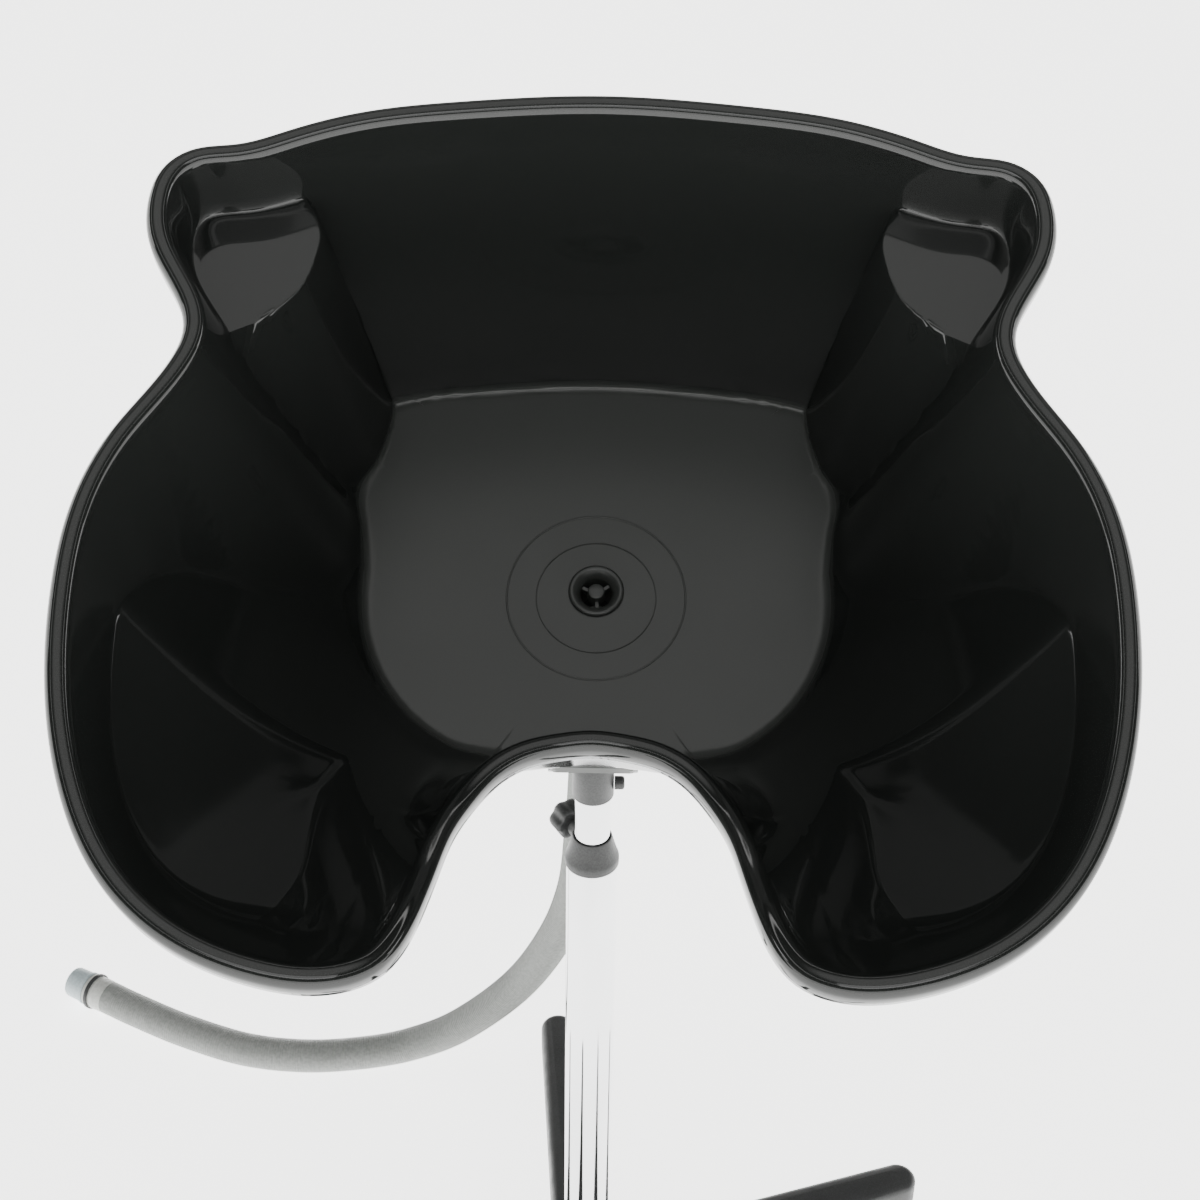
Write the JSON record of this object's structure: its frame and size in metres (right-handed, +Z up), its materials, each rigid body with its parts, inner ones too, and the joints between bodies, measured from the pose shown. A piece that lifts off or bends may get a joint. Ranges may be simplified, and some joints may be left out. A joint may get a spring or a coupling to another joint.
{
  "type": "portable shampoo basin",
  "caption": "Black portable hair-washing basin with a neck notch and bottle ledges, tilting on a height-adjustable chrome post over a star base, with a drain hose.",
  "frame": {"origin": "on the floor, on the post's axis", "axes": "+Z up along the post; +Y towards the back of the basin, away from the neck notch; +X to the right of somebody who looks along +Y"},
  "size_m": [0.7145, 0.6582, 0.9073],
  "materials": {
    "black_gloss": "gloss",
    "black_satin": "satin",
    "chrome": "mirror",
    "zinc_steel": "zinc plated",
    "white_nylon": "matte",
    "black_rubber": "matte",
    "grey_hose": "satin, finely ribbed",
    "light_grey_cuff": "satin",
    "blue_grey_fitting": "satin"
  },
  "bodies": {
    "stand": {"base_star": "black_satin", "foot_glide_1": "black_rubber", "foot_glide_2": "black_rubber", "foot_glide_3": "black_rubber", "foot_glide_4": "black_rubber", "foot_glide_5": "black_rubber", "base_washer": "zinc_steel", "base_bolt": "zinc_steel", "tube_plug": "zinc_steel", "hub_cover": "black_satin", "outer_tube": "chrome", "collar_bush": "white_nylon", "height_collar": "black_satin", "drain_hose": "grey_hose", "hose_cuff": "light_grey_cuff", "hose_end_clip": "black_satin", "hose_end_fitting": "blue_grey_fitting"},
    "height_knob": {"height_knob": "black_satin", "height_knob_stud": "zinc_steel"},
    "post": {"inner_tube": "chrome", "slide_bush": "white_nylon", "tilt_socket": "black_satin", "socket_screw": "black_satin"},
    "basin": {"basin_shell": "black_gloss", "tilt_bracket": "zinc_steel", "bracket_screw_1": "zinc_steel", "bracket_screw_2": "zinc_steel", "bracket_screw_3": "zinc_steel", "bracket_screw_4": "zinc_steel", "friction_washer_left": "white_nylon", "friction_washer_right": "white_nylon", "tilt_bolt": "zinc_steel", "drain_flange": "black_gloss", "drain_strainer": "black_gloss", "drain_gasket": "black_rubber", "drain_nut": "black_satin", "hose_nozzle": "black_satin", "hose_clamp": "zinc_steel", "hose_clamp_screw": "zinc_steel"},
    "tilt_knob": {"tilt_knob": "black_satin"}
  },
  "joints": [
    {"name": "height_slide", "type": "slide", "parent": "stand", "child": "post", "axis": [0, 0, 1], "range_m": [0, 0.355], "deforming": ["drain_hose"]},
    {"name": "height_knob_turn", "type": "hinge", "parent": "stand", "child": "height_knob", "pos_m": [0, 0, 0.4575], "axis": [-0.5299, 0.848, 0], "range_deg": [0, 540]},
    {"name": "tilt_hinge", "type": "hinge", "parent": "post", "child": "basin", "pos_m": [0, 0, 0.545], "axis": [1, 0, 0], "range_deg": [-32.7, 10], "deforming": ["drain_hose"]},
    {"name": "tilt_knob_turn", "type": "hinge", "parent": "basin", "child": "tilt_knob", "pos_m": [0, 0, 0.545], "axis": [1, 0, 0], "range_deg": [0, 540]}
  ]
}
